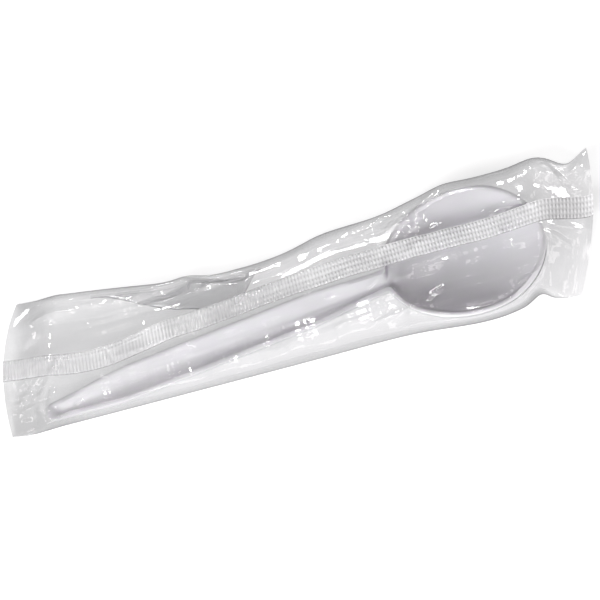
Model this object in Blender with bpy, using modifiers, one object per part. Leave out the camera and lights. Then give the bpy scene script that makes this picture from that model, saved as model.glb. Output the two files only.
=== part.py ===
# A soup spoon in a clear flow wrap: one moulded spoon inside one folded sheet of film.
# Metres, +Z up. +X runs along the pack towards the bowl, and the pack lies on the plane z = 0.

import math

import bmesh
import bpy
from mathutils import Matrix, Vector

mm = 0.001

# Spoon, in its own frame: x from the handle's end to the bowl's tip, y across
spoon_length = 0.1535
bowl_width = 0.0418
bowl_tip_length = 0.0216       # from the widest place to the tip
bowl_neck_length = 0.0266      # from the widest place back to the neck
bowl_depth = 0.0072            # hollow of the bowl below its rim
bowl_fullness = 2.5            # 2 is a paraboloid, more has a flatter bottom
wall = 0.0012
rim_land = 0.0008              # flat top of the rim
handle_end_width = 0.0058
handle_width = 0.0111
handle_neck_width = 0.0075
handle_taper_length = 0.028    # from the end to where the handle is full width
handle_end_radius = 0.0024
trough_depth = 0.0021          # hollow along the handle
shoulder_blend = 2.7           # lower is a softer shoulder between the handle and the bowl
handle_end_lift = 0.0002       # how far the handle's end stays off the film
neck_bend = 0.012              # length over which the rim turns from the bowl's level to the handle's slope

# Where the spoon lies in the pack
spoon_turn = math.radians(6.3)
bowl_x = 0.0532
bowl_y = -0.0045
contact_gap = 0.0003           # between the spoon and the film that it rests on

# Film wrapper
film = 0.00005
wrap_length = 0.179
wrap_middle_x = 0.0007
near_width = 0.0231            # from y = 0 to the long edges, near the ends
far_width = 0.0204
weld_length = 0.0012
weld_height = 0.0004
left_run = 0.017               # length over which the tube closes at each end
right_run = 0.0165
left_skew = 0.17               # how far each end runs out of square
right_skew = 0.29
left_bow = 5.0                 # curve of each end line, as its rise over its length squared
right_bow = -5.5
left_arch = 0.0040             # the end welds bow up from the table
right_arch = 0.0030
near_slack = 0.0020            # film beside the bowl's rim
far_slack = 0.0045
crown_slack = 0.0017           # film above the rim
handle_crown = 0.0092          # height of the tube over the handle
far_fold_height = 0.0042       # height of the rounded long edges
near_fold_height = 0.0040
bowl_far_fold_height = 0.0056  # the same where the film is stretched round the bowl
bowl_near_fold_height = 0.0080
waist_tuck = 0.0090            # the far edge draws in between the handle and the bowl
waist_x = -0.015
waist_spread = 0.046
side_fullness = 3.0            # section roundness, 2 is an ellipse
weld_fullness = 12             # the welds keep their height nearly to the corners
fold_inset = 0.00025           # the plies touch this far in from the long edges
floor_share = 1.12             # over 1 leaves a flat strip under the tube
corner_lift = 0.0045           # the far right corner curls up
corner_length = 0.022

# Waves of the long edges: where along the film, how long, and how far out
far_waves = [(-0.085, 0.009, 0.0013), (-0.030, 0.005, 0.0013), (0.011, 0.008, 0.0012),
             (0.031, 0.008, -0.0009), (0.050, 0.006, 0.0010), (0.074, 0.005, 0.0008),
             (0.0835, 0.0040, -0.0030), (0.095, 0.006, 0.0022)]
near_waves = [(-0.093, 0.010, -0.0027), (0.0745, 0.0045, -0.0020)]

# Folds of the upper ply in millimetres: from x and y, to x and y, half width, height
neck_folds = [(26, 6, 38, 10, 3.0, 0.9), (30, 7, 43, 15, 3.0, 0.8), (20, 10, 35, 14, 3.0, -0.8)]
tuck_folds = [(-31, 13, -14, 7, 4.0, -1.7), (-14, 10, 8, 14, 4.0, -0.8)]
left_folds = [(-86, 12, -38, 8, 4.5, 0.7), (-70, -10, -79, -18, 3.0, 0.9), (-85, -10, -81, -20, 2.8, 0.7)]
right_folds = [(74, -8, 87, -8, 2.8, 0.9), (79, 17, 83, 9, 3.0, 1.0), (76, -12, 83, -19, 2.8, 0.8)]
near_folds = [(18, -21, 33, -18, 3.0, 0.7)]

# Fin seal, folded flat on the top of the tube
fin_width = 0.0066
fin_gap = 0.0003
fin_root_y = -0.0072
fin_root_rise = 0.0042         # how far the root line moves across between the ends
fin_bend_left = -0.035         # where it starts and ends that move
fin_bend_right = 0.020
fin_end_rise = 0.0028          # and how far it moves on beyond the bowl

# Slit that the end weld leaves beside the folded fin
vent_width = 0.0040
vent_height = 0.00015

# Mesh density
bowl_steps = 20
neck_steps = 7
handle_steps = 11
cap_steps = 5
hollow_columns = 10
wrap_steps = 60
end_crowding = 0.06            # how much closer together the sections are near the welds
far_columns = 10
near_columns = 9
fin_columns = 3
floor_columns = 12


def ramp(value, start, end):
    """Smooth step from 0 at start to 1 at end."""
    t = min(max((value - start) / (end - start), 0.0), 1.0)
    return t * t * (3 - 2 * t)


def mix(a, b, share):
    return a + (b - a) * share


def bump(value, centre, spread):
    return math.exp(-(((value - centre) / spread) ** 2))


# Spoon

bowl_centre = spoon_length - bowl_tip_length
neck_x = bowl_centre - bowl_neck_length
rim_height = film + contact_gap + wall + bowl_depth


def bowl_share(x, inset=0.0):
    """How far x lies from the bowl's widest place, as a share of the bowl's half length."""
    half = bowl_tip_length if x > bowl_centre else bowl_neck_length
    return (x - bowl_centre) / (half - inset)


def handle_half_width(x):
    """Half width of the handle alone, with its round end."""
    grown = mix(handle_end_width, handle_width, ramp(x, 0, handle_taper_length))
    width = mix(grown, handle_neck_width, ramp(x, neck_x * 0.75, neck_x))
    corner = min(x / handle_end_radius, 1.0)
    end_cut = handle_end_radius * (1 - math.sqrt(1 - (1 - corner) ** 2))
    return width / 2 - end_cut


def half_width(x):
    """Half width of the whole spoon, where the handle swells into the bowl."""
    share = bowl_share(x)
    bowl = bowl_width / 2 * math.sqrt(max(1 - share * share, 0.0))
    if x > bowl_centre:
        return bowl
    return (bowl ** shoulder_blend + handle_half_width(x) ** shoulder_blend) ** (1 / shoulder_blend)


def hollow_depth(x, y, inner_half):
    """Depth of the hollow below the rim, in the bowl and along the handle's trough."""
    across = y / (bowl_width / 2 - rim_land)
    radius = math.hypot(bowl_share(x, rim_land), across)
    bowl = bowl_depth * max(1 - radius ** bowl_fullness, 0.0)
    if x > bowl_centre:
        return bowl
    fade = ramp(x, rim_land, rim_land + 2 * handle_end_radius)
    trough = trough_depth * fade * (1 - (y / inner_half) ** 2)
    share = ramp(x, neck_x - rim_land, bowl_centre)
    return math.hypot(bowl, trough * (1 - share))


def rim_level(x):
    """Height of the rim: level round the bowl, then falling along the handle to its end."""
    end_level = film + contact_gap + handle_end_lift + wall + trough_depth
    slope = (rim_height - end_level) / neck_x
    back = neck_x - x
    if back > neck_bend:
        return rim_height - slope * back
    return rim_height - slope * max(back + neck_bend, 0.0) ** 2 / (4 * neck_bend)


def spoon_stations():
    """Places along the spoon, close together where the outline turns."""
    stations = []
    for i in range(cap_steps):
        stations.append(handle_end_radius * (1 - math.cos(math.pi / 2 * (i + 0.35) / cap_steps)))
    for i in range(handle_steps):
        stations.append(mix(handle_end_radius, neck_x - neck_bend, i / handle_steps))
    for i in range(neck_steps):
        stations.append(mix(neck_x - neck_bend, bowl_centre - bowl_neck_length * 0.8, i / neck_steps))
    first = -math.asin(0.8)
    last = math.radians(87)
    for i in range(bowl_steps + 1):
        angle = mix(first, last, i / bowl_steps)
        half = bowl_tip_length if angle > 0 else bowl_neck_length
        stations.append(bowl_centre + half * math.sin(angle))
    return stations


def spoon_section(x):
    """Points across the upper surface: rim, hollow, rim."""
    outer = half_width(x)
    inner = max(outer - rim_land, outer * 0.7)
    points = [Vector((x, -outer, rim_level(x)))]
    for i in range(hollow_columns + 1):
        y = -inner * math.cos(math.pi * i / hollow_columns)
        points.append(Vector((x, y, rim_level(x) - hollow_depth(x, y, inner))))
    points.append(Vector((x, outer, rim_level(x))))
    return points


def make_spoon(collection):
    """The spoon as an open surface, thickened downwards, with its edges broken."""
    mesh = bpy.data.meshes.new("soup_spoon")
    surface = bmesh.new()
    rows = [[surface.verts.new(p) for p in spoon_section(x)] for x in spoon_stations()]
    for row, following in zip(rows, rows[1:]):
        for a, b, c, d in zip(row, following, following[1:], row[1:]):
            surface.faces.new((a, b, c, d))
    surface.to_mesh(mesh)
    surface.free()
    spoon = bpy.data.objects.new("soup_spoon", mesh)
    collection.objects.link(spoon)

    shell = spoon.modifiers.new("wall", "SOLIDIFY")
    shell.thickness = wall
    shell.offset = -1
    shell.use_even_offset = True

    edges = spoon.modifiers.new("broken edges", "BEVEL")
    edges.width = wall * 0.2
    edges.segments = 1
    edges.limit_method = "ANGLE"
    edges.angle_limit = math.radians(50)

    mesh.shade_smooth()
    turn = Matrix.Rotation(spoon_turn, 4, "Z")
    place = Vector((bowl_x, bowl_y, 0)) - turn @ Vector((bowl_centre, 0, 0))
    spoon.matrix_world = Matrix.Translation(place) @ turn
    spoon.data.materials.append(make_material("white plastic", (0.80, 0.80, 0.84), 0.32))
    return spoon


# Film wrapper

wrap_left = wrap_middle_x - wrap_length / 2
wrap_right = wrap_middle_x + wrap_length / 2
bowl_crown = rim_height + crown_slack
bowl_spread = bowl_width * 0.60
near_spread = bowl_width * 0.42
near_bulge = bowl_width / 2 - bowl_y + near_slack - near_width
far_bulge = bowl_width / 2 + bowl_y + far_slack - far_width


def wave_height(x, waves):
    return sum(height * bump(x, place, spread) for place, spread, height in waves)


def far_edge(x):
    tuck = waist_tuck * bump(x, waist_x, waist_spread)
    return far_width - tuck + far_bulge * bump(x, bowl_x, bowl_spread) + wave_height(x, far_waves)


def near_edge(x):
    return -near_width - near_bulge * bump(x, bowl_x, near_spread) - wave_height(x, near_waves)


def crown_height(x):
    return mix(handle_crown, bowl_crown, ramp(x, bowl_x - 2 * bowl_width, bowl_x - bowl_width))


def fold_height(x, q):
    """Height of the rounded long edge at q = -1 (near) and q = 1 (far), and between them."""
    at_bowl = bump(x, bowl_x, bowl_spread)
    near = mix(near_fold_height, bowl_near_fold_height, at_bowl)
    far = mix(far_fold_height, bowl_far_fold_height, at_bowl)
    return mix(near, far, (q + 1) / 2)


def closing(x):
    """1 on the end welds, 0 where the tube is open to its full height."""
    left = 1 - ramp(x, wrap_left + weld_length, wrap_left + left_run)
    right = ramp(x, wrap_right - right_run, wrap_right - weld_length)
    return max(left, right)


def weld_line(x, q):
    """Height of the middle of the weld, which bows up between its corners."""
    arch = left_arch if x < wrap_middle_x else right_arch
    return weld_height / 2 + arch * (1 - q * q)


def roundness(q, fullness):
    """1 in the middle of a section, falling to 0 at its long edges, as on a superellipse."""
    return max(1 - abs(q) ** fullness, 0.0) ** (1 / min(fullness, 4))


def fold_rise(x, y):
    """How far the folds lift or sink the upper ply. Each is a ridge that dies out at both ends."""
    rise = 0.0
    for folds in (neck_folds, tuck_folds, left_folds, right_folds, near_folds):
        for x1, y1, x2, y2, width, height in folds:
            start = Vector((x1, y1)) * mm
            run = Vector((x2 - x1, y2 - y1)) * mm
            reach = Vector((x, y)) - start
            along = reach.dot(run) / run.length_squared
            across = abs(reach.cross(run)) / run.length
            lens = math.sqrt(max(1 - (2 * along - 1) ** 2, 0.0))
            flank = max(1 - across / (width * mm), 0.0)
            rise += height * mm * lens * flank
    return rise


def corner_rise(x, place):
    """The far right corner's curl, on both plies."""
    return corner_lift * ramp(x, wrap_right - corner_length, wrap_right) * ramp(place, 0, 1)


def wrap_height(x, q, place, upper, inset):
    """Height of a ply. q is -1 and 1 at the ply's own edges, and place at the wrapper's."""
    tube = roundness(q, side_fullness)
    half = (weld_height / 2 - inset) * roundness(q, weld_fullness)
    fold = fold_height(x, place)
    if upper:
        ply = fold + (crown_height(x) - inset - fold) * tube
        weld = weld_line(x, place) + half
    else:
        flat = min(tube * floor_share, 1.0)
        ply = fold * (1 - flat) + inset * flat
        weld = weld_line(x, place) - half
    return mix(ply, weld, closing(x)) + corner_rise(x, place)


def wrap_point(x, q, upper, inset):
    """A point of the film. inset moves it into the film from its outer face."""
    near = near_edge(x)
    far = far_edge(x)
    y = mix(near, far, (q + 1) / 2)
    rise = fold_rise(x, y) * (1 - q ** 8) * (1 - closing(x) ** 6) if upper else 0.0
    if inset > 0:
        y -= inset * q + fold_inset * q ** 7
    place = 2 * (y - near) / (far - near) - 1
    left = (left_skew * y + left_bow * y * y) * (1 - ramp(x, wrap_left, waist_x))
    right = (right_skew * y + right_bow * y * y) * ramp(x, bowl_x, wrap_right)
    return Vector((x + left + right, y, wrap_height(x, q, place, upper, inset) + rise))


def fin_line(x, across):
    """q of a line along the fin seal, across metres from its root."""
    bend = fin_root_rise * ramp(x, fin_bend_left, fin_bend_right)
    end_bend = fin_end_rise * ramp(x, bowl_x, wrap_right)
    y = fin_root_y + bend + end_bend + across
    near = near_edge(x)
    return 2 * (y - near) / (far_edge(x) - near) - 1


def columns(first, last, count):
    """Values of q from first to last, close together near the long edges."""
    a = math.asin(first)
    b = math.asin(last)
    return [math.sin(mix(a, b, i / count)) for i in range(count + 1)]


def wrap_section(x, inset, with_fin):
    """One closed section: the upper ply from far to near, then the lower ply back."""
    root = fin_line(x, 0)
    free = fin_line(x, fin_width)
    under_fin = [mix(free, root, i / fin_columns) for i in range(fin_columns + 1)]
    before = columns(1, free, far_columns)[:-1]
    after = columns(root, -1, near_columns)[1:]
    points = [wrap_point(x, q, True, inset) for q in before + under_fin]
    if with_fin:
        low = Vector((0, 0, fin_gap))
        high = Vector((0, 0, fin_gap + 2 * film))
        back = fin_line(x, fin_gap)
        beyond = fin_line(x, -fin_gap)
        points[-1] = wrap_point(x, back, True, inset)
        points += [p + low for p in reversed(points[-fin_columns - 1:])]
        points += [wrap_point(x, q, True, inset) + high for q in under_fin]
        points.append(wrap_point(x, beyond, True, inset))
    points += [wrap_point(x, q, True, inset) for q in after]
    points += [wrap_point(x, q, False, inset) for q in columns(-1, 1, floor_columns)[1:-1]]
    return points


def loft(name, sections):
    """A closed body through like sections, with a flat cap on each end."""
    mesh = bpy.data.meshes.new(name)
    body = bmesh.new()
    loops = [[body.verts.new(p) for p in section] for section in sections]
    for loop, following in zip(loops, loops[1:]):
        for i in range(len(loop)):
            j = (i + 1) % len(loop)
            body.faces.new((loop[i], following[i], following[j]))
            body.faces.new((loop[i], following[j], loop[j]))
    body.faces.new(loops[0])
    body.faces.new(reversed(loops[-1]))
    bmesh.ops.recalc_face_normals(body, faces=body.faces)
    body.to_mesh(mesh)
    body.free()
    return bpy.data.objects.new(name, mesh)


def wrap_stations():
    """Places along the open part of the wrapper, closer together towards the welds."""
    stations = []
    for i in range(wrap_steps + 1):
        t = i / wrap_steps
        spread = t - end_crowding * math.sin(2 * math.pi * t)
        stations.append(mix(wrap_left + weld_length, wrap_right - weld_length, spread))
    return stations


def cut(body, cutter):
    """Takes the cutter's shape out of the body."""
    cutter.hide_render = True
    cutter.display_type = "WIRE"
    step = body.modifiers.new("cut " + cutter.name, "BOOLEAN")
    step.operation = "DIFFERENCE"
    step.solver = "EXACT"
    step.object = cutter


def make_wrapper(collection, cutters):
    """The film: its outer form, less the space inside it and the slit in one end weld."""
    open_stations = wrap_stations()
    all_stations = [wrap_left] + open_stations + [wrap_right]
    wrapper = loft("film_wrapper", [wrap_section(x, 0.0, True) for x in all_stations])
    collection.objects.link(wrapper)

    space = loft("inner_space", [wrap_section(x, film, False) for x in open_stations])
    cutters.objects.link(space)
    cut(wrapper, space)

    middle = wrap_point(open_stations[0], 0, True, weld_height / 2)
    bpy.ops.mesh.primitive_cube_add(size=1, location=middle)
    vent = bpy.context.object
    vent.name = "weld_slit"
    vent.scale = (4 * weld_length, vent_width, vent_height)
    bpy.context.collection.objects.unlink(vent)
    cutters.objects.link(vent)
    cut(wrapper, vent)

    wrapper.data.shade_smooth()
    wrapper.data.materials.append(make_material("clear film", (0.92, 0.92, 0.93), 0.08, 0.25))
    return wrapper


def centre_on_origin(wrapper, others):
    """Moves everything so that the middle of the pack's footprint is the origin."""
    corners = [v.co for v in wrapper.data.vertices]
    middle_x = (min(p.x for p in corners) + max(p.x for p in corners)) / 2
    middle_y = (min(p.y for p in corners) + max(p.y for p in corners)) / 2
    pack = bpy.data.objects.new("pack_origin", None)
    bpy.context.scene.collection.objects.link(pack)
    pack.location = (-middle_x, -middle_y, 0)
    for item in [wrapper] + others:
        item.parent = pack


def make_material(name, colour, roughness, alpha=1.0):
    material = bpy.data.materials.new(name)
    material.use_nodes = True
    shader = material.node_tree.nodes["Principled BSDF"]
    shader.inputs["Base Color"].default_value = (*colour, 1)
    shader.inputs["Roughness"].default_value = roughness
    shader.inputs["Metallic"].default_value = 0
    shader.inputs["Alpha"].default_value = alpha
    return material


def main():
    for old in list(bpy.data.objects):
        bpy.data.objects.remove(old)
    parts = bpy.data.collections.new("wrapped_soup_spoon")
    cutters = bpy.data.collections.new("cutters")
    bpy.context.scene.collection.children.link(parts)
    bpy.context.scene.collection.children.link(cutters)
    spoon = make_spoon(parts)
    wrapper = make_wrapper(parts, cutters)
    centre_on_origin(wrapper, [spoon] + list(cutters.objects))


main()
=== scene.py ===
import math

import bpy
import numpy as np
from mathutils import Matrix, Vector, noise
from mathutils.bvhtree import BVHTree


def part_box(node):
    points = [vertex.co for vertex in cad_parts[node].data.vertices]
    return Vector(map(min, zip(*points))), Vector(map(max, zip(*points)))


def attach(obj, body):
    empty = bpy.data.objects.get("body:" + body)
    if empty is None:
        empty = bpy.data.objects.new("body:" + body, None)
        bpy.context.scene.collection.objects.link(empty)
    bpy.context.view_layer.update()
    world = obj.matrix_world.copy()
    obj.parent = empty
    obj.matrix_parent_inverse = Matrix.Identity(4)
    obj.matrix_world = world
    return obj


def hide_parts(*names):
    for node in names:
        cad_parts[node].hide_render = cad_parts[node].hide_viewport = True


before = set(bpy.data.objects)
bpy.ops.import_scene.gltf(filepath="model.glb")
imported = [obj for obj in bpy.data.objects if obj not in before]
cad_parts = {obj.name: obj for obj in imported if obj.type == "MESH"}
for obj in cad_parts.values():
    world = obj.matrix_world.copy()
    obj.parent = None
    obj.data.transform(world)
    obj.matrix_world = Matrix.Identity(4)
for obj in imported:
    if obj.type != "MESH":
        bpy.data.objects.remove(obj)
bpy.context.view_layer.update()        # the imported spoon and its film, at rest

mm = 0.001
packedLow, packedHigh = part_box("film_wrapper")


# Small helpers for shapes, pieces and nodes

def ramp(value, start, end):        # smooth step from 0 at start to 1 at end
    t = np.clip((value - start) / (end - start), 0.0, 1.0)
    return t * t * (3 - 2 * t)


def mix(a, b, share):
    return a + (b - a) * share


def bump(value, centre, spread):
    return np.exp(-(((value - centre) / spread) ** 2))


def gridFaces(rows, columns, closed=False):        # quads of a grid whose points run row by row
    faces = []
    last = columns if closed else columns - 1
    for i in range(rows - 1):
        for j in range(last):
            k = (j + 1) % columns
            faces.append((i * columns + j, (i + 1) * columns + j, (i + 1) * columns + k, i * columns + k))
    return faces


def makePiece(name, points, faces, material):
    mesh = bpy.data.meshes.new(name)
    mesh.from_pydata([tuple(p) for p in points], [], faces)
    mesh.shade_smooth()
    mesh.materials.append(material)
    piece = bpy.data.objects.new(name, mesh)
    bpy.context.scene.collection.objects.link(piece)
    return piece


def fill(tree, node, given):        # a link where another node gives the value, or else the value itself
    for name, value in given.items():
        if isinstance(value, bpy.types.NodeSocket):
            tree.links.new(value, node.inputs[name])
        else:
            node.inputs[name].default_value = value


def addNode(tree, kind, given=None, **settings):
    node = tree.nodes.new(kind)
    for name, value in settings.items():
        setattr(node, name, value)
    fill(tree, node, given or {})
    return node


def calc(tree, operation, *given):
    return addNode(tree, "ShaderNodeMath", dict(enumerate(given)), operation=operation).outputs[0]


def remap(tree, value, fromLow, fromHigh, toLow, toHigh, interpolation="LINEAR"):
    given = {"Value": value, "From Min": fromLow, "From Max": fromHigh, "To Min": toLow, "To Max": toHigh}
    return addNode(tree, "ShaderNodeMapRange", given, interpolation_type=interpolation).outputs["Result"]


def mixShaders(tree, share, first, second):
    return addNode(tree, "ShaderNodeMixShader", {0: share, 1: first, 2: second}).outputs[0]


# Camera, at the photograph's angle

cameraSpec = dict(target=(-0.0009, 0.0010, 0.0), distance=0.70, azimuth=-5.92, elevation=61.0, roll=-20.0,
                  lens=142.7)


def makeCamera():        # azimuth 0 looks along +Y; the photograph was turned to lie along a diagonal
    azimuth, elevation = math.radians(cameraSpec["azimuth"]), math.radians(cameraSpec["elevation"])
    sight = Vector((math.cos(elevation) * math.sin(azimuth), math.cos(elevation) * math.cos(azimuth),
                    -math.sin(elevation)))
    data = bpy.data.cameras.new("camera")
    data.sensor_width = 36
    data.lens = cameraSpec["lens"]
    data.clip_start = 0.01
    camera = bpy.data.objects.new("camera", data)
    bpy.context.scene.collection.objects.link(camera)
    level = sight.to_track_quat("-Z", "Y").to_matrix()
    turned = level @ Matrix.Rotation(math.radians(cameraSpec["roll"]), 3, "Z")
    camera.matrix_world = (Matrix.Translation(Vector(cameraSpec["target"]) - sight * cameraSpec["distance"])
                           @ turned.to_4x4())
    bpy.context.scene.camera = camera


makeCamera()
print("camera done")


# Floor, world and lamps

studioSpec = dict(
    floorSize=3.0, floorDrop=0.00005, floorColour=(0.62, 0.62, 0.62), floorGlow=0.68, floorShine=(0.24, 0.24, 0.24),
    worldFill=0.23, darkSide=(-0.22, 0.78, 0.60), darkShine=0.04, brightShine=1.8, darkFrom=0.50, darkTo=0.90,
    fillTint=(1.0, 0.965, 0.975), rightShine=1.8, leftShine=1.0, shineTurn=0.3, endMiddle=0.56, endWidth=0.20,
    leftDim=0.15, dimFrom=-0.55, dimTo=-0.15, patchShine=4.5, patchScale=5.0, patchFrom=0.61, patchTo=0.65,
    patchFadeFrom=0.74, patchFadeTo=0.86,
)
lampSpecs = [        # directions from the pack; those with shine are only seen in reflections
    dict(name="key", direction=(-0.54, -0.68, 0.50), distance=1.5, size=(0.76, 0.76), radiance=17.5, shine=False),
    dict(name="backLow", direction=(-0.10, 0.82, 0.56), distance=0.9, size=(0.16, 0.09), radiance=24.0, shine=True),
    dict(name="backLeft", direction=(-0.50, 0.42, 0.76), distance=0.9, size=(0.09, 0.06), radiance=28.0, shine=True),
    dict(name="backRight", direction=(0.45, 0.50, 0.74), distance=0.9, size=(0.13, 0.10), radiance=24.0, shine=True),
    dict(name="right", direction=(0.80, 0.42, 0.42), distance=0.9, size=(0.20, 0.12), radiance=24.0, shine=True),
    dict(name="top", direction=(0.05, 0.02, 1.0), distance=0.9, size=(0.16, 0.08), radiance=22.0, shine=True),
]


def makeFloor():
    half = studioSpec["floorSize"] / 2
    corners = [(-half, -half), (half, -half), (half, half), (-half, half)]
    mesh = bpy.data.meshes.new("floor")
    mesh.from_pydata([(x, y, -studioSpec["floorDrop"]) for x, y in corners], [], [(0, 1, 2, 3)])
    floor = bpy.data.objects.new("floor", mesh)
    bpy.context.scene.collection.objects.link(floor)
    material = bpy.data.materials.new("whiteFloor")
    material.use_nodes = True
    tree = material.node_tree
    tree.nodes.clear()
    path = addNode(tree, "ShaderNodeLightPath").outputs
    paint = addNode(tree, "ShaderNodeBsdfDiffuse", {"Color": (*studioSpec["floorColour"], 1)})
    dull = addNode(tree, "ShaderNodeBsdfDiffuse", {"Color": (*studioSpec["floorShine"], 1)})
    ground = mixShaders(tree, path["Is Glossy Ray"], paint.outputs[0], dull.outputs[0])        # duller in reflections
    seen = calc(tree, "MAXIMUM", path["Is Camera Ray"], path["Is Transmission Ray"])
    glow = addNode(tree, "ShaderNodeEmission", {"Strength": calc(tree, "MULTIPLY", seen, studioSpec["floorGlow"])})
    both = addNode(tree, "ShaderNodeAddShader", {0: ground, 1: glow.outputs[0]})
    addNode(tree, "ShaderNodeOutputMaterial", {"Surface": both.outputs[0]})
    mesh.materials.append(material)


def makeWorld():        # reflections see it dark towards one side, so that flat film stays clear
    world = bpy.data.worlds.new("studio")
    bpy.context.scene.world = world
    world.use_nodes = True
    tree = world.node_tree
    path = addNode(tree, "ShaderNodeLightPath").outputs
    toward = addNode(tree, "ShaderNodeTexCoord").outputs["Generated"]
    darkSide = Vector(studioSpec["darkSide"]).normalized()
    back = addNode(tree, "ShaderNodeVectorMath", {0: toward, 1: darkSide}, operation="DOT_PRODUCT").outputs["Value"]
    right = addNode(tree, "ShaderNodeSeparateXYZ", {0: toward}).outputs["X"]
    dusk = remap(tree, back, studioSpec["darkFrom"], studioSpec["darkTo"],
                 studioSpec["brightShine"], studioSpec["darkShine"], "SMOOTHSTEP")

    outward = calc(tree, "SUBTRACT", calc(tree, "ABSOLUTE", right), studioSpec["endMiddle"])
    boxes = remap(tree, calc(tree, "ABSOLUTE", outward), 0.0, studioSpec["endWidth"], 1.0, 0.0, "SMOOTHSTEP")
    power = remap(tree, right, -studioSpec["shineTurn"], studioSpec["shineTurn"],
                  studioSpec["leftShine"], studioSpec["rightShine"])
    ends = calc(tree, "MULTIPLY", boxes, power)        # a bright band past each end
    dim = remap(tree, right, studioSpec["dimFrom"], studioSpec["dimTo"], studioSpec["leftDim"], 1.0)
    broad = calc(tree, "MULTIPLY", calc(tree, "MAXIMUM", dusk, ends), dim)        # dimmer to the left

    cloud = addNode(tree, "ShaderNodeTexNoise", {"Vector": toward, "Scale": studioSpec["patchScale"], "Detail": 1.0})
    patch = remap(tree, cloud.outputs["Fac"], studioSpec["patchFrom"], studioSpec["patchTo"], 0.0, 1.0, "SMOOTHSTEP")
    fade = remap(tree, back, studioSpec["patchFadeFrom"], studioSpec["patchFadeTo"],
                 studioSpec["patchShine"], 0.0, "SMOOTHSTEP")
    patches = calc(tree, "MULTIPLY", patch, fade)        # small bright ones, for the crinkles' glints

    shine = calc(tree, "MULTIPLY", path["Is Glossy Ray"], calc(tree, "MAXIMUM", broad, patches))
    seen = calc(tree, "MAXIMUM", path["Is Camera Ray"], path["Is Transmission Ray"])
    filled = calc(tree, "MULTIPLY", path["Is Diffuse Ray"], studioSpec["worldFill"])
    strength = calc(tree, "MAXIMUM", calc(tree, "MAXIMUM", seen, shine), filled)
    fill(tree, tree.nodes["Background"], {"Color": (*studioSpec["fillTint"], 1), "Strength": strength})


def makeLamp(spec):
    data = bpy.data.lights.new(spec["name"], "AREA")
    data.shape = "RECTANGLE"
    data.size, data.size_y = spec["size"]
    data.energy = spec["radiance"] * math.pi * data.size * data.size_y        # watts
    lamp = bpy.data.objects.new(spec["name"], data)
    bpy.context.scene.collection.objects.link(lamp)
    direction = Vector(spec["direction"]).normalized()
    lamp.location = direction * spec["distance"]
    lamp.rotation_euler = direction.to_track_quat("Z", "Y").to_euler()
    lamp.visible_glossy = spec["shine"]        # the key gives light, the others their glints
    lamp.visible_diffuse = not spec["shine"]


makeFloor()
makeWorld()
for lampSpec in lampSpecs:
    makeLamp(lampSpec)
print("studio done")


# Finishes

def effectGroup(name, inputs, output):        # an effect with named sockets, for the materials to share
    group = bpy.data.node_groups.new(name, "ShaderNodeTree")
    for socket, value in inputs.items():
        group.interface.new_socket(socket, in_out="INPUT", socket_type="NodeSocketFloat").default_value = value
    group.interface.new_socket(output, in_out="OUTPUT", socket_type="NodeSocketFloat")
    return group, addNode(group, "NodeGroupInput").outputs


def makeGrainGroup():        # noise in the piece's own space
    group, given = effectGroup("surface grain", {"Scale": 45.0, "Detail": 3.0}, "Grain")
    place = addNode(group, "ShaderNodeTexCoord").outputs["Object"]
    sizes = {"Scale": given["Scale"], "Detail": given["Detail"]}
    grain = addNode(group, "ShaderNodeTexNoise", {"Vector": place, **sizes}).outputs["Fac"]
    addNode(group, "NodeGroupOutput", {"Grain": grain})
    return group


def makeAlongGroup():        # a level that changes along the pack, between two places
    sockets = {"Slant": 0.0, "From": 0.0, "To": 1.0, "First": 0.0, "Last": 1.0}
    group, given = effectGroup("along the pack", sockets, "Level")
    place = addNode(group, "ShaderNodeTexCoord").outputs["Object"]
    parts = addNode(group, "ShaderNodeSeparateXYZ", {0: place}).outputs
    along = calc(group, "MULTIPLY_ADD", parts["Y"], given["Slant"], parts["X"])
    level = remap(group, along, given["From"], given["To"], given["First"], given["Last"], "SMOOTHSTEP")
    addNode(group, "NodeGroupOutput", {"Level": level})
    return group


grainGroup = makeGrainGroup()
alongGroup = makeAlongGroup()


def surfaceNoise(tree, scale, detail):
    return addNode(tree, "ShaderNodeGroup", {"Scale": scale, "Detail": detail}, node_tree=grainGroup).outputs["Grain"]


def alongPack(tree, slant, start, end, first, last):
    given = {"Slant": slant, "From": start, "To": end, "First": first, "Last": last}
    return addNode(tree, "ShaderNodeGroup", given, node_tree=alongGroup).outputs["Level"]


def makeRelief(tree, height, strength, depth):
    given = {"Strength": strength, "Distance": depth, "Height": height}
    return addNode(tree, "ShaderNodeBump", given).outputs["Normal"]


def mixTints(tree, share, first, second):
    given = {"Factor": share, "A": (*first, 1), "B": (*second, 1)}
    return addNode(tree, "ShaderNodeMix", given, data_type="RGBA").outputs["Result"]


plasticSpec = dict(        # a grain is its scale and detail
    darker=(0.87, 0.86, 0.91), lighter=(0.92, 0.90, 0.945), cloudGrain=(45.0, 3.0), index=1.55,
    smooth=0.24, rough=0.38, scuffGrain=(260.0, 5.0), skinGrain=(900.0, 2.0), skinStrength=0.06, skinDepth=0.0001,
    underShare=0.5, underReach=(0.0014, 0.0012, 0.0015), underScale=1.5,
)


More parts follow.
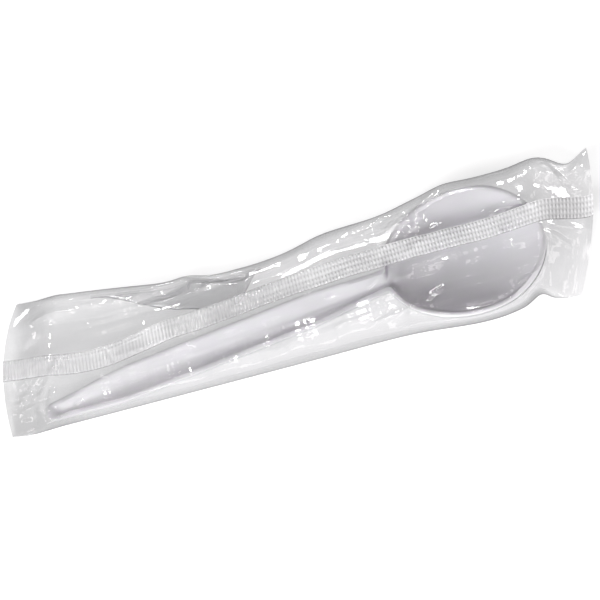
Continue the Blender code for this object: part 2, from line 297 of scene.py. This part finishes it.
def makeWhitePlastic():
    material = bpy.data.materials.new("whitePlastic")
    material.use_nodes = True
    tree = material.node_tree
    cloud = surfaceNoise(tree, *plasticSpec["cloudGrain"])
    scuff = surfaceNoise(tree, *plasticSpec["scuffGrain"])
    skin = surfaceNoise(tree, *plasticSpec["skinGrain"])
    fill(tree, tree.nodes["Principled BSDF"], {
        "Base Color": mixTints(tree, cloud, plasticSpec["darker"], plasticSpec["lighter"]),
        "Roughness": remap(tree, scuff, 0.0, 1.0, plasticSpec["smooth"], plasticSpec["rough"]),
        "Normal": makeRelief(tree, skin, plasticSpec["skinStrength"], plasticSpec["skinDepth"]),
        "IOR": plasticSpec["index"],
        "Subsurface Weight": plasticSpec["underShare"],
        "Subsurface Radius": plasticSpec["underReach"],
        "Subsurface Scale": plasticSpec["underScale"],
    })
    return material


filmFinishSpec = dict(
    index=1.68, edgeBlend=0.25, grain=(700.0, 4.0), grainStrength=0.10, grainDepth=0.0001,
    milkColour=(0.95, 0.95, 0.96), milkRoughness=0.4, blotchGrain=(60.0, 4.0), blotchFrom=0.3, blotchTo=0.7,
    # The left places below set where the film is tinted darker as painted shade, the right ones where the seal is
    # whitened as painted light
    blotchSpread=0.5, leftShadeSlant=0.9, leftShadeFrom=-0.106, leftShadeTo=-0.078, rightLightFrom=0.050, rightLightTo=0.082,
)


def makeFilmFinish(name, haze, clearFace, clearEdge, roughness, leftShadeLevel, rightPaintedLight=0.0):
    material = bpy.data.materials.new(name)
    material.use_nodes = True
    tree = material.node_tree
    tree.nodes.clear()
    facing = addNode(tree, "ShaderNodeLayerWeight", {"Blend": filmFinishSpec["edgeBlend"]}).outputs["Facing"]
    left = alongPack(tree, filmFinishSpec["leftShadeSlant"], filmFinishSpec["leftShadeFrom"], filmFinishSpec["leftShadeTo"],
                     leftShadeLevel, 1.0)        # painted shade: the film is tinted darker towards its left end
    tintWithPaintedShade = addNode(tree, "ShaderNodeVectorMath", {0: mixTints(tree, facing, clearFace, clearEdge), "Scale": left},
                     operation="SCALE")
    through = addNode(tree, "ShaderNodeBsdfTransparent", {"Color": tintWithPaintedShade.outputs["Vector"]})

    fine = makeRelief(tree, surfaceNoise(tree, *filmFinishSpec["grain"]),
                      filmFinishSpec["grainStrength"], filmFinishSpec["grainDepth"])
    shine = addNode(tree, "ShaderNodeBsdfGlossy", {"Roughness": roughness, "Normal": fine})
    side = addNode(tree, "ShaderNodeNewGeometry").outputs["Backfacing"]
    index = remap(tree, side, 0.0, 1.0, filmFinishSpec["index"], 1 / filmFinishSpec["index"])
    mirror = addNode(tree, "ShaderNodeFresnel", {"IOR": index})        # both faces of a ply, alike from either side
    skin = mixShaders(tree, mirror.outputs[0], through.outputs[0], shine.outputs[0])

    milk = addNode(tree, "ShaderNodeBsdfPrincipled", {
        "Base Color": (*filmFinishSpec["milkColour"], 1), "Roughness": filmFinishSpec["milkRoughness"]})
    spread = filmFinishSpec["blotchSpread"]
    amount = remap(tree, surfaceNoise(tree, *filmFinishSpec["blotchGrain"]), filmFinishSpec["blotchFrom"],
                   filmFinishSpec["blotchTo"], haze * (1 - spread), haze * (1 + spread))
    # painted light: extra white haze lightens the seal towards its right end
    if rightPaintedLight:
        paintedLight = alongPack(tree, 0.0, filmFinishSpec["rightLightFrom"], filmFinishSpec["rightLightTo"], 0.0, rightPaintedLight)
        amount = calc(tree, "ADD", amount, paintedLight)
    whole = mixShaders(tree, amount, skin, milk.outputs[0])
    addNode(tree, "ShaderNodeOutputMaterial", {"Surface": whole})
    return material


whitePlastic = makeWhitePlastic()
# Both films get painted shade towards the left end; the seal's film also gets painted light towards its right end
clearFilm = makeFilmFinish("clearFilm", haze=0.03, clearFace=(0.935, 0.935, 0.938), clearEdge=(0.52, 0.52, 0.53),
                           roughness=0.03, leftShadeLevel=0.86)
crimpedFilm = makeFilmFinish("crimpedFilm", haze=0.36, clearFace=(0.985, 0.985, 0.988), clearEdge=(0.30, 0.30, 0.305),
                             roughness=0.10, leftShadeLevel=0.95, rightPaintedLight=0.45)
print("finishes done")


# Spoon: one lofted surface, thickened downwards, in metres along its own length

spoonSpec = dict(
    length=0.1535, bowlWidth=0.0418, bowlTip=0.0216, bowlNeck=0.0266, bowlDepth=0.0072, bowlFullness=2.5,
    wall=0.0012, rimLand=0.0008, handleEnd=0.0058, handleMiddle=0.0111, handleNeck=0.0075,
    handleTaper=0.028, endRadius=0.0024, troughDepth=0.0021, shoulderBlend=2.7, endLift=0.0002,
    neckBend=0.012, neckTaper=0.75, endShallow=0.72, endFade=0.050, leastHollow=0.7, brokenEdge=0.22,
    turn=math.radians(6.3), bowlX=0.0532, bowlY=-0.0045, gap=0.0003, film=0.00005,
    capSteps=14, handleSteps=60, neckSteps=30, bowlSteps=84, hollowSteps=44,
)
bowlCentre = spoonSpec["length"] - spoonSpec["bowlTip"]
neckX = bowlCentre - spoonSpec["bowlNeck"]
rimHeight = spoonSpec["film"] + spoonSpec["gap"] + spoonSpec["wall"] + spoonSpec["bowlDepth"]


def bowlShare(x, inset=0.0):        # distance from the widest place as a share of the half length
    half = spoonSpec["bowlTip"] if x > bowlCentre else spoonSpec["bowlNeck"]
    return (x - bowlCentre) / (half - inset)


def handleHalf(x):
    grown = mix(spoonSpec["handleEnd"], spoonSpec["handleMiddle"], ramp(x, 0, spoonSpec["handleTaper"]))
    width = mix(grown, spoonSpec["handleNeck"], ramp(x, neckX * spoonSpec["neckTaper"], neckX))
    radius = spoonSpec["endRadius"]
    corner = min(x / radius, 1.0)
    return width / 2 - radius * (1 - math.sqrt(1 - (1 - corner) ** 2))


def spoonHalf(x):        # half width, where the handle swells into the bowl
    share = bowlShare(x)
    bowl = spoonSpec["bowlWidth"] / 2 * math.sqrt(max(1 - share * share, 0.0))
    if x > bowlCentre:
        return bowl
    blend = spoonSpec["shoulderBlend"]
    return (bowl ** blend + handleHalf(x) ** blend) ** (1 / blend)


def hollowDepth(x, y, innerHalf):
    across = y / (spoonSpec["bowlWidth"] / 2 - spoonSpec["rimLand"])
    radius = math.hypot(bowlShare(x, spoonSpec["rimLand"]), across)
    bowl = spoonSpec["bowlDepth"] * max(1 - radius ** spoonSpec["bowlFullness"], 0.0)
    if x > bowlCentre:
        return bowl
    fade = ramp(x, spoonSpec["rimLand"], spoonSpec["rimLand"] + 2 * spoonSpec["endRadius"])
    fade *= mix(spoonSpec["endShallow"], 1.0, ramp(x, 0, spoonSpec["endFade"]))
    trough = spoonSpec["troughDepth"] * fade * (1 - (y / innerHalf) ** 2)
    return math.hypot(bowl, trough * (1 - ramp(x, neckX - spoonSpec["rimLand"], bowlCentre)))


def rimLevel(x):        # level round the bowl, then falling along the handle
    endLevel = (spoonSpec["film"] + spoonSpec["gap"] + spoonSpec["endLift"]
                + spoonSpec["wall"] + spoonSpec["troughDepth"])
    slope = (rimHeight - endLevel) / neckX
    back, bend = neckX - x, spoonSpec["neckBend"]
    if back > bend:
        return rimHeight - slope * back
    return rimHeight - slope * max(back + bend, 0.0) ** 2 / (4 * bend)


def spoonStations():        # close at the end, where the handle turns, and at the bowl's tip
    radius, bend = spoonSpec["endRadius"], spoonSpec["neckBend"]
    caps, handles = spoonSpec["capSteps"], spoonSpec["handleSteps"]
    necks, bowls = spoonSpec["neckSteps"], spoonSpec["bowlSteps"]
    bowlFrom, firstCap, lastAngle = 0.8, 0.35, math.radians(88.6)
    stations = [radius * (1 - math.cos(math.pi / 2 * (i + firstCap) / caps)) for i in range(caps)]
    stations += [mix(radius, neckX - bend, i / handles) for i in range(handles)]
    stations += [mix(neckX - bend, bowlCentre - spoonSpec["bowlNeck"] * bowlFrom, i / necks) for i in range(necks)]
    for i in range(bowls + 1):
        angle = mix(-math.asin(bowlFrom), lastAngle, i / bowls)
        half = spoonSpec["bowlTip"] if angle > 0 else spoonSpec["bowlNeck"]
        stations.append(bowlCentre + half * math.sin(angle))
    return stations


def spoonPoints():
    points = []
    steps = spoonSpec["hollowSteps"]
    for x in spoonStations():
        outer = spoonHalf(x)
        inner = max(outer - spoonSpec["rimLand"], outer * spoonSpec["leastHollow"])
        ys = [-inner * math.cos(math.pi * i / steps) for i in range(steps + 1)]
        points.append(Vector((x, -outer, rimLevel(x))))
        points += [Vector((x, y, rimLevel(x) - hollowDepth(x, y, inner))) for y in ys]
        points.append(Vector((x, outer, rimLevel(x))))
    return points


# Film: one sheet folded into a flat tube, with a ribbed seal on top and both ends sealed

filmSpec = dict(
    length=0.179, middleX=0.0007, nearWidth=0.0231, farWidth=0.0204, weldLength=0.0012, weldHeight=0.0004,
    leftRun=0.017, rightRun=0.0165, leftSkew=0.17, rightSkew=0.29, leftBow=5.0, rightBow=-5.5,
    leftArch=0.0040, rightArch=0.0030, nearSlack=0.0010, farSlack=0.0045, crownSlack=0.0017,
    handleCrown=0.0092, farFold=0.0042, nearFold=0.0040, bowlFarFold=0.0056, bowlNearFold=0.0080,
    waistTuck=0.0090, waistX=-0.015, waistSpread=0.046, sideFullness=3.0, weldFullness=12, floorShare=1.12,
    cornerLift=0.0045, cornerLength=0.022, bowlReach=0.60, nearReach=0.42,
    farWaves=[(-0.091, 0.008, 0.0016), (-0.085, 0.009, 0.0013), (-0.030, 0.005, 0.0013), (0.011, 0.008, 0.0012),
              (0.031, 0.008, -0.0009), (0.050, 0.006, 0.0010), (0.074, 0.005, 0.0008),
              (0.0835, 0.0040, -0.0030), (0.095, 0.006, 0.0022)],
    nearWaves=[(-0.093, 0.010, -0.0027), (0.0745, 0.0045, -0.0020)],
    rows=440, columns=150, lowerColumns=52, clearOfSpoon=0.15 * mm, clearOfFloor=0.03 * mm,
)
wrapLeft = filmSpec["middleX"] - filmSpec["length"] / 2
wrapRight = filmSpec["middleX"] + filmSpec["length"] / 2
bowlCrown = rimHeight + filmSpec["crownSlack"]
bowlSpread = spoonSpec["bowlWidth"] * filmSpec["bowlReach"]
nearSpread = spoonSpec["bowlWidth"] * filmSpec["nearReach"]
nearBulge = spoonSpec["bowlWidth"] / 2 - spoonSpec["bowlY"] + filmSpec["nearSlack"] - filmSpec["nearWidth"]
farBulge = spoonSpec["bowlWidth"] / 2 + spoonSpec["bowlY"] + filmSpec["farSlack"] - filmSpec["farWidth"]


def waveHeight(x, waves):
    return sum(height * bump(x, place, spread) for place, spread, height in waves)


def farEdge(x):
    tuck = filmSpec["waistTuck"] * bump(x, filmSpec["waistX"], filmSpec["waistSpread"])
    return (filmSpec["farWidth"] - tuck + farBulge * bump(x, spoonSpec["bowlX"], bowlSpread)
            + waveHeight(x, filmSpec["farWaves"]))


def nearEdge(x):
    return (-filmSpec["nearWidth"] - nearBulge * bump(x, spoonSpec["bowlX"], nearSpread)
            - waveHeight(x, filmSpec["nearWaves"]))


def crownHeight(x):
    width, bowlX = spoonSpec["bowlWidth"], spoonSpec["bowlX"]
    return mix(filmSpec["handleCrown"], bowlCrown, ramp(x, bowlX - 2 * width, bowlX - width))


def foldHeight(x, q):
    atBowl = bump(x, spoonSpec["bowlX"], bowlSpread)
    near = mix(filmSpec["nearFold"], filmSpec["bowlNearFold"], atBowl)
    far = mix(filmSpec["farFold"], filmSpec["bowlFarFold"], atBowl)
    return mix(near, far, (q + 1) / 2)


def closing(x):        # 1 on the end seals, 0 where the tube is open
    left = 1 - ramp(x, wrapLeft + filmSpec["weldLength"], wrapLeft + filmSpec["leftRun"])
    right = ramp(x, wrapRight - filmSpec["rightRun"], wrapRight - filmSpec["weldLength"])
    return np.maximum(left, right)


def roundness(q, fullness):
    return np.maximum(1 - np.abs(q) ** fullness, 0.0) ** (1 / min(fullness, 4))


def filmBase(x, q, upper):        # the plain form of a ply, before its folds
    tube = roundness(q, filmSpec["sideFullness"])
    half = filmSpec["weldHeight"] / 2 * roundness(q, filmSpec["weldFullness"])
    fold = foldHeight(x, q)
    arch = np.where(x < filmSpec["middleX"], filmSpec["leftArch"], filmSpec["rightArch"])
    weld = filmSpec["weldHeight"] / 2 + arch * (1 - q * q)
    if upper:
        z = mix(fold + (crownHeight(x) - fold) * tube, weld + half, closing(x))
    else:
        flat = np.minimum(tube * filmSpec["floorShare"], 1.0)
        z = mix(fold * (1 - flat), weld - half, closing(x))
    z += filmSpec["cornerLift"] * ramp(x, wrapRight - filmSpec["cornerLength"], wrapRight) * ramp(q, 0, 1)
    y = mix(nearEdge(x), farEdge(x), (q + 1) / 2)
    left = (filmSpec["leftSkew"] * y + filmSpec["leftBow"] * y * y) * (1 - ramp(x, wrapLeft, filmSpec["waistX"]))
    right = ((filmSpec["rightSkew"] * y + filmSpec["rightBow"] * y * y)
             * ramp(x, spoonSpec["bowlX"], wrapRight))
    return np.stack([x + left + right, y, z], -1)


def ringGrid(rows, columns, upper):        # stations along the film and q across it, close at the folds
    x = np.linspace(wrapLeft, wrapRight, rows)
    q = np.sin(np.linspace(math.pi / 2, -math.pi / 2, columns))
    if not upper:
        q = q[::-1]
    x, q = np.meshgrid(x, q, indexing="ij")
    return x, q, upper


def packShift():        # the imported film's box is centred on the origin, this form isn't
    ring = np.array([filmBase(*ringGrid(120, 40, ply)) for ply in (True, False)]).reshape(-1, 3)
    middle = (ring.min(0) + ring.max(0)) / 2
    packed = (packedLow + packedHigh) / 2
    return Vector((packed.x - middle[0], packed.y - middle[1], 0))


shift = packShift()
print("film shift", [round(v / mm, 3) for v in shift])

# How strong the folds are: the waves in millimetres, the rest as shares
foldSpec = dict(glintSlope=0.27, wave=0.45, smallWave=0.25, crinkleShare=1.1, crinkleScale=2.6, lowerShare=0.5,
                plainShare=0.06, weldShare=0.85)

# Creases, in millimetres: from, to, half width, height. A group is one gather or dent.
creaseSpecs = dict(
    neckGather=[(26, 6, 38, 10, 3.0, 0.7), (30, 7, 43, 15, 2.6, 0.7), (20, 10, 35, 14, 2.6, -0.7),
                (27, 4, 36, 8.5, 1.3, -0.5), (27, 0.8, 34.5, 7.7, 1.3, 0.5), (39, 13.8, 40.6, 9.2, 1.1, 0.5),
                (37, 10.2, 38.6, 3.6, 1.7, 0.7), (34, -1.6, 42.4, 3.0, 2.4, 0.7), (26.3, -3.1, 32.3, -3.1, 1.3, 0.5),
                (29.2, -4, 31, -12.3, 0.9, 0.5), (42, 14.4, 49.3, 19.6, 1.5, 0.6), (23, 9, 31, 15, 1.2, 0.5)],
    bowlCrinkles=[(58.3, 5.7, 68.4, 5.7, 2.2, 0.6), (70.3, 8.2, 73.7, 2.6, 1.6, 0.6),
                  (62, -0.8, 65, -7.6, 1.4, 0.5), (36, -17.2, 43.4, -13.8, 1.2, 0.4),
                  (46.4, -3.2, 48.1, -7.2, 0.9, 0.35), (63.5, -19.2, 68.6, -17.3, 1.0, 0.4)],
    rightEnd=[(73, -2.4, 88.7, -4.8, 1.6, 0.65), (75, -5.2, 81.3, -9.4, 1.8, 0.5), (74, -10, 87, -9, 2.6, 0.3),
              (75.4, 18.4, 77.6, 9.8, 1.6, 0.8), (79, 17, 83, 9, 2.6, 0.5), (81, 16.4, 84.2, 5.2, 1.0, 0.5),
              (81.8, 17.2, 86.2, 10.8, 1.0, -0.5), (93.4, 22.4, 92.7, 6.5, 1.4, 0.5),
              (88, 19.7, 89.5, 14.3, 1.1, 0.5), (75.4, -4, 73.5, -11.8, 1.0, 0.4)],
    leftEnd=[(-86, 12, -38, 8, 4.0, 0.5), (-78, 11.6, -63.5, 10, 2.3, 0.5), (-52.6, 9.6, -48.8, 10.3, 1.8, 0.6),
             (-50, 13, -50.4, 7, 1.0, 0.5), (-62.3, 11.2, -57, 10, 1.3, 0.5), (-62, 6.9, -59, -2.3, 0.8, -0.5),
             (-57.2, -4.9, -55.2, -10.6, 0.8, -0.5), (-70, -3, -80, -15.3, 1.6, 0.7),
             (-83.3, -3.8, -80.6, -15.2, 1.3, 0.7), (-80.9, -14, -78.3, -22.4, 1.2, 0.6),
             (-88.5, -8, -88, -21, 1.1, 0.5), (-69.3, -20, -66.3, -19, 1.0, 0.6),
             (-83.6, 10.8, -82.8, 4.3, 0.9, 0.45), (-76, -12, -79, -21, 1.2, -0.5)],
    farTuck=[(-31, 13, -12, 6.5, 3.2, -2.6), (-47, 7.5, -28, 10, 3.4, -1.5), (-14, 10, 8, 14, 4.0, -0.7),
             (-29.5, 11.8, -27.5, 5.2, 1.0, 0.6), (-28.2, 6, -13.8, 7.3, 1.3, 0.6),
             (-30.2, 13.2, -17.8, 10.6, 1.4, 0.5)],
    streaks=[(-62, -9, 8, -4.4, 1.6, 0.22), (-48, -4, 22, -0.6, 1.2, -0.16), (-36, -14, 30, -12, 1.8, 0.22),
             (-20, -18.4, 22, -16, 1.4, -0.2), (-66, 3, -30, 3.6, 1.5, -0.2), (-60, 6.4, -20, 5.4, 1.3, 0.2)],
    nearSide=[(18, -21, 33, -18, 2.6, 0.4), (30.9, -20.2, 34.4, -15.9, 1.2, 0.6), (20.4, -19.8, 32.6, -18, 1.2, 0.5),
              (8.4, -8.6, 11.6, -8, 0.9, 0.4), (9.3, -18.3, 12.7, -17.1, 1.0, 0.5), (20.8, -9.2, 25.2, -6, 0.9, 0.4)],
)


def creaseHeight(x, y):        # x and y in millimetres
    height = np.zeros_like(x)
    for name, group in creaseSpecs.items():
        for x1, y1, x2, y2, width, tall in group:
            if name != "farTuck":        # the tuck is deep, the others no steeper than what glints
                tall = math.copysign(min(abs(tall), foldSpec["glintSlope"] * width), tall)
            dx, dy = x2 - x1, y2 - y1
            span = math.hypot(dx, dy)
            along = ((x - x1) * dx + (y - y1) * dy) / span ** 2
            across = np.abs((x - x1) * dy - (y - y1) * dx) / span
            lens = np.sqrt(np.clip(1 - (2 * along - 1) ** 2, 0, 1))
            reach = width * (0.25 + 0.75 * lens)
            height += tall * lens * np.clip(1 - across / reach, 0, 1)
    return height


def zigzag(value):        # a triangle wave from 0 to 1: straight folds with flat flanks
    return 1 - np.abs(value % 2 - 1)


facetSpecs = [        # direction in degrees, spacing and height in millimetres, wander
    (20, 9.0, 0.50, 1.3), (75, 7.0, 0.35, 1.0), (130, 6.0, 0.30, 0.9), (165, 11.0, 0.40, 1.6),
]


def facetHeight(x, y, seed):        # crumpled facets with wandering straight folds
    height = np.zeros_like(x)
    for i, (turn, spacing, tall, wander) in enumerate(facetSpecs):
        angle = math.radians(turn)
        wave = wanderField(x, y, seed + i) * wander
        along = (x * math.cos(angle) + y * math.sin(angle)) / spacing + wave
        height += tall * (zigzag(along) - 0.5) * (0.35 + 0.65 * wanderField(y, x, seed + 10 + i))
    return height


def wanderField(x, y, seed):        # smooth noise from -1 to 1, sampled on a coarse grid and read between
    step, reach, size, seedStep = 3.0, 130.0, 14, 7.3
    count = int(2 * reach / step)
    grid = np.array([[noise.noise(Vector((i * step / size, j * step / size, seed * seedStep))) for j in range(count)]
                     for i in range(count)])
    u = np.clip((x + reach) / step, 0, count - 1.001)
    v = np.clip((y + reach) / step, 0, count - 1.001)
    i, j = u.astype(int), v.astype(int)
    s, t = u - i, v - j
    s, t = s * s * (3 - 2 * s), t * t * (3 - 2 * t)
    near = mix(grid[i, j], grid[i + 1, j], s)
    far = mix(grid[i, j + 1], grid[i + 1, j + 1], s)
    return 2 * mix(near, far, t)


crumpleSpecs = [        # where the film is crumpled: x, y, spread along and across in mm, share
    (35, 9, 12, 12, 1.05), (84, 9, 9, 16, 1.2), (-82, -12, 9, 12, 1.2), (-24, 12, 14, 6, 0.7),
    (-56, 11, 14, 6, 0.5), (28, -19, 9, 4, 0.5), (59, 16, 16, 6, 0.5),
]
crinkleSpecs = [        # where it has fine crinkles too
    (-84, -14, 7, 10, 1.7), (36, 9, 10, 10, 1.1), (85, 9, 7, 13, 1.1), (-24, 10, 9, 4, 0.6), (-58, 11, 8, 3, 0.5),
    (31, -19, 4, 3, 0.5), (66, 5, 8, 4, 0.5), (50, 17, 9, 3, 0.5),
]


def crumpleShare(x, y, specs):
    share = foldSpec["plainShare"] * np.ones_like(x)
    for cx, cy, long, wide, most in specs:
        share = np.maximum(share, most * np.exp(-((x - cx) / long) ** 2 - ((y - cy) / wide) ** 2))
    return share


# The ribbed seal, folded flat on the upper ply
sealSpec = dict(
    width=0.0066, rootY=-0.0072, rootRise=0.0042, bendLeft=-0.035, bendRight=0.020, endRise=0.0028,
    sway=[(-0.060, 0.018, -0.0040), (-0.090, 0.012, 0.0030), (0.014, 0.016, -0.0008), (0.080, 0.020, -0.0008)],
    lift=0.00022, curl=0.0003, curlLength=0.011, curlSway=0.8, thick=0.00010, calm=0.75,
    ribPitch=0.00100, ribHeight=0.00024, cells=4, cellsFrom=-0.02, cellsTo=0.01, border=0.06,
    plainX=-0.048, plainSpread=0.016, plainShare=0.75,
    ridges=(0.93, 0.78), ridgeHeight=0.00012, ridgeSpread=0.03, ridgeFrom=-0.03, ridgeTo=-0.01,
    endFlat=0.6, ribRows=6, across=22,
)


def sealRoot(x):
    return (sealSpec["rootY"] + sealSpec["rootRise"] * ramp(x, sealSpec["bendLeft"], sealSpec["bendRight"])
            + sealSpec["endRise"] * ramp(x, spoonSpec["bowlX"], wrapRight) + waveHeight(x, sealSpec["sway"]))


def calmUnderSeal(x, y):        # the seal is stiff, so the film crumples less there
    middle = sealRoot(x) + sealSpec["width"] / 2
    return 1 - sealSpec["calm"] * (1 - ramp(np.abs(y - middle), sealSpec["width"] / 2, sealSpec["width"]))


def filmPoints(x, q, upper):        # a ply with its folds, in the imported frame
    points = filmBase(x, q, upper)
    px, py = points[..., 0] / mm, points[..., 1] / mm
    edgeFade = 1 - np.abs(q) ** 10
    weldFade = 1 - foldSpec["weldShare"] * closing(x) ** 14
    if upper:
        fine = foldSpec["crinkleScale"]
        waves = foldSpec["wave"] * wanderField(px, py, 3) + foldSpec["smallWave"] * wanderField(2 * px, 2 * py, 5)
        crumple = facetHeight(px, py, 20) * crumpleShare(px, py, crumpleSpecs)
        crumple += (foldSpec["crinkleShare"] * facetHeight(fine * px, fine * py, 60)
                    * crumpleShare(px, py, crinkleSpecs))
        calm = calmUnderSeal(x, points[..., 1])
        rise = creaseHeight(px, py) * (0.5 + 0.5 * calm) + crumple * calm + waves * (0.4 + 0.6 * calm)
    else:
        crumple = facetHeight(px, py, 40) * crumpleShare(px, py, crumpleSpecs)
        rise = np.maximum(crumple * foldSpec["lowerShare"], 0)
    points[..., 2] += rise * mm * edgeFade * weldFade
    points[..., 2] = np.maximum(points[..., 2], filmSpec["clearOfFloor"] * (3 if upper else 1))
    points += np.array(shift)
    return points


def keepClear(points, tree, distance, upward):        # moves the points out of the spoon
    moved = 0
    for p in points:
        spot = Vector(p)
        place, normal, index, far = tree.find_nearest(spot, distance * 8)
        if place is None:
            continue
        out = (spot - place).dot(normal)
        if out < distance:
            spot = spot + normal * (distance - out) if far < distance * 4 else spot
            if upward:
                spot.z = max(spot.z, place.z + distance * normal.z)
            p[:] = spot
            moved += 1
    return moved


# Make the spoon

def makeSpoon():
    points = spoonPoints()
    columns = spoonSpec["hollowSteps"] + 3
    faces = [tuple(reversed(f)) for f in gridFaces(len(points) // columns, columns)]
    turn = Matrix.Rotation(spoonSpec["turn"], 4, "Z")
    place = Vector((spoonSpec["bowlX"], spoonSpec["bowlY"], 0)) - turn @ Vector((bowlCentre, 0, 0)) + shift
    placed = [turn @ p + place for p in points]
    spoon = makePiece("white_spoon", placed, faces, whitePlastic)
    shell = spoon.modifiers.new("wall", "SOLIDIFY")
    shell.thickness = spoonSpec["wall"]
    shell.offset = -1
    shell.use_even_offset = True
    edges = spoon.modifiers.new("broken edges", "BEVEL")
    edges.width = spoonSpec["wall"] * spoonSpec["brokenEdge"]
    edges.segments = 3
    edges.limit_method = "ANGLE"
    edges.angle_limit = math.radians(50)
    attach(spoon, "root")
    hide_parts("soup_spoon")
    return spoon


spoon = makeSpoon()
bpy.context.view_layer.update()
spoonTree = BVHTree.FromObject(spoon, bpy.context.evaluated_depsgraph_get())
print("spoon done")


def makeFilm():
    rows = filmSpec["rows"]
    upper = filmPoints(*ringGrid(rows, filmSpec["columns"], True))
    lower = filmPoints(*ringGrid(rows, filmSpec["lowerColumns"], False))
    print("film points cleared", keepClear(upper.reshape(-1, 3), spoonTree, filmSpec["clearOfSpoon"], True),
          keepClear(lower.reshape(-1, 3), spoonTree, filmSpec["clearOfSpoon"], False))
    ring = np.concatenate([upper, lower[:, 1:-1]], 1)
    film = makePiece("clear_wrapper", ring.reshape(-1, 3), gridFaces(rows, ring.shape[1], True),
                     clearFilm)
    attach(film, "root")
    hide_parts("film_wrapper")
    return film


film = makeFilm()
print("film done")


# The far edge is tucked in between the plies beside the handle
tuckSpec = dict(start=-0.062, deepest=-0.022, rising=-0.018, end=-0.008, least=0.03, depth=0.56, edge=0.93,
                opening=0.10, rows=150, across=16)


def makeTuck():        # two more layers of the same film, joined at the inner fold
    x, out = np.meshgrid(np.linspace(tuckSpec["start"], tuckSpec["end"], tuckSpec["rows"]),
                         np.linspace(0, 1, tuckSpec["across"]), indexing="ij")
    depth = (tuckSpec["least"] + tuckSpec["depth"] * ramp(x, tuckSpec["start"], tuckSpec["deepest"])
             * (1 - ramp(x, tuckSpec["rising"], tuckSpec["end"])))
    q = tuckSpec["edge"] - depth * (1 - out)
    upper, lower = filmBase(x, q, True) + np.array(shift), filmBase(x, q, False) + np.array(shift)
    parting = (tuckSpec["opening"] * out ** 0.7)[..., None]
    top, bottom = mix(lower, upper, 0.5 + parting), mix(lower, upper, 0.5 - parting)
    sheet = np.concatenate([top[:, ::-1], bottom[:, 1:]], 1)
    tuck = makePiece("far_tuck", sheet.reshape(-1, 3), gridFaces(tuckSpec["rows"], sheet.shape[1]), clearFilm)
    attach(tuck, "root")
    return tuck


tuck = makeTuck()
print("tuck done")


# Make the seal

def sealShare(x, across):        # q of a line along the seal, across metres from its root
    return 2 * (sealRoot(x) + across - nearEdge(x)) / (farEdge(x) - nearEdge(x)) - 1


def makeSeal():
    rows = int(filmSpec["length"] / sealSpec["ribPitch"] * sealSpec["ribRows"])
    x, across = np.meshgrid(np.linspace(wrapLeft, wrapRight, rows),
                            np.linspace(0, sealSpec["width"], sealSpec["across"]), indexing="ij")
    points = filmPoints(x, sealShare(x, across), True)
    share = across / sealSpec["width"]
    ribs = 0.5 + 0.5 * np.cos(2 * math.pi * (x - wrapLeft) / sealSpec["ribPitch"])
    plain = bump(x, sealSpec["plainX"], sealSpec["plainSpread"])        # a stretch where the ribs hardly show
    cells = 0.5 - 0.5 * np.cos(2 * math.pi * sealSpec["cells"] * share)
    grooves = mix(1.0, cells, ramp(x, sealSpec["cellsFrom"], sealSpec["cellsTo"]))
    edges = ramp(share, 0.0, sealSpec["border"]) * (1 - ramp(share, 1 - sealSpec["border"], 1.0))
    ribs = sealSpec["ribHeight"] * ribs * grooves * edges * (1 - sealSpec["plainShare"] * plain)
    ridges = sum(bump(share, place, sealSpec["ridgeSpread"]) for place in sealSpec["ridges"])
    ribs += sealSpec["ridgeHeight"] * ridges * (1 - ramp(x, sealSpec["ridgeFrom"], sealSpec["ridgeTo"]))
    curl = sealSpec["curl"] * share ** 2 * (1 + sealSpec["curlSway"] * np.sin(x / sealSpec["curlLength"]))
    points[..., 2] += (sealSpec["lift"] + curl) * (1 - sealSpec["endFlat"] * closing(x)) + ribs
    keepClear(points.reshape(-1, 3), spoonTree, 2 * filmSpec["clearOfSpoon"], True)
    top = points.reshape(-1, 3)
    bottom = top.copy()
    bottom[:, 2] -= sealSpec["thick"]
    columns = sealSpec["across"]
    faces = gridFaces(rows, columns)
    count = len(top)
    faces += [tuple(count + i for i in reversed(f)) for f in faces]
    rim = ([i * columns for i in range(rows)] + [(rows - 1) * columns + j for j in range(1, columns)]
           + [i * columns + columns - 1 for i in range(rows - 2, -1, -1)] + list(range(columns - 2, 0, -1)))
    for a, b in zip(rim, rim[1:] + rim[:1]):
        faces.append((a, b, count + b, count + a))
    seal = makePiece("fin_seal", np.concatenate([top, bottom]), faces, crimpedFilm)
    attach(seal, "root")
    return seal


seal = makeSeal()
print("seal done")


# View transform and transparent bounces

scene = bpy.context.scene
scene.view_settings.view_transform = "Standard"
scene.cycles.transparent_max_bounces = 24
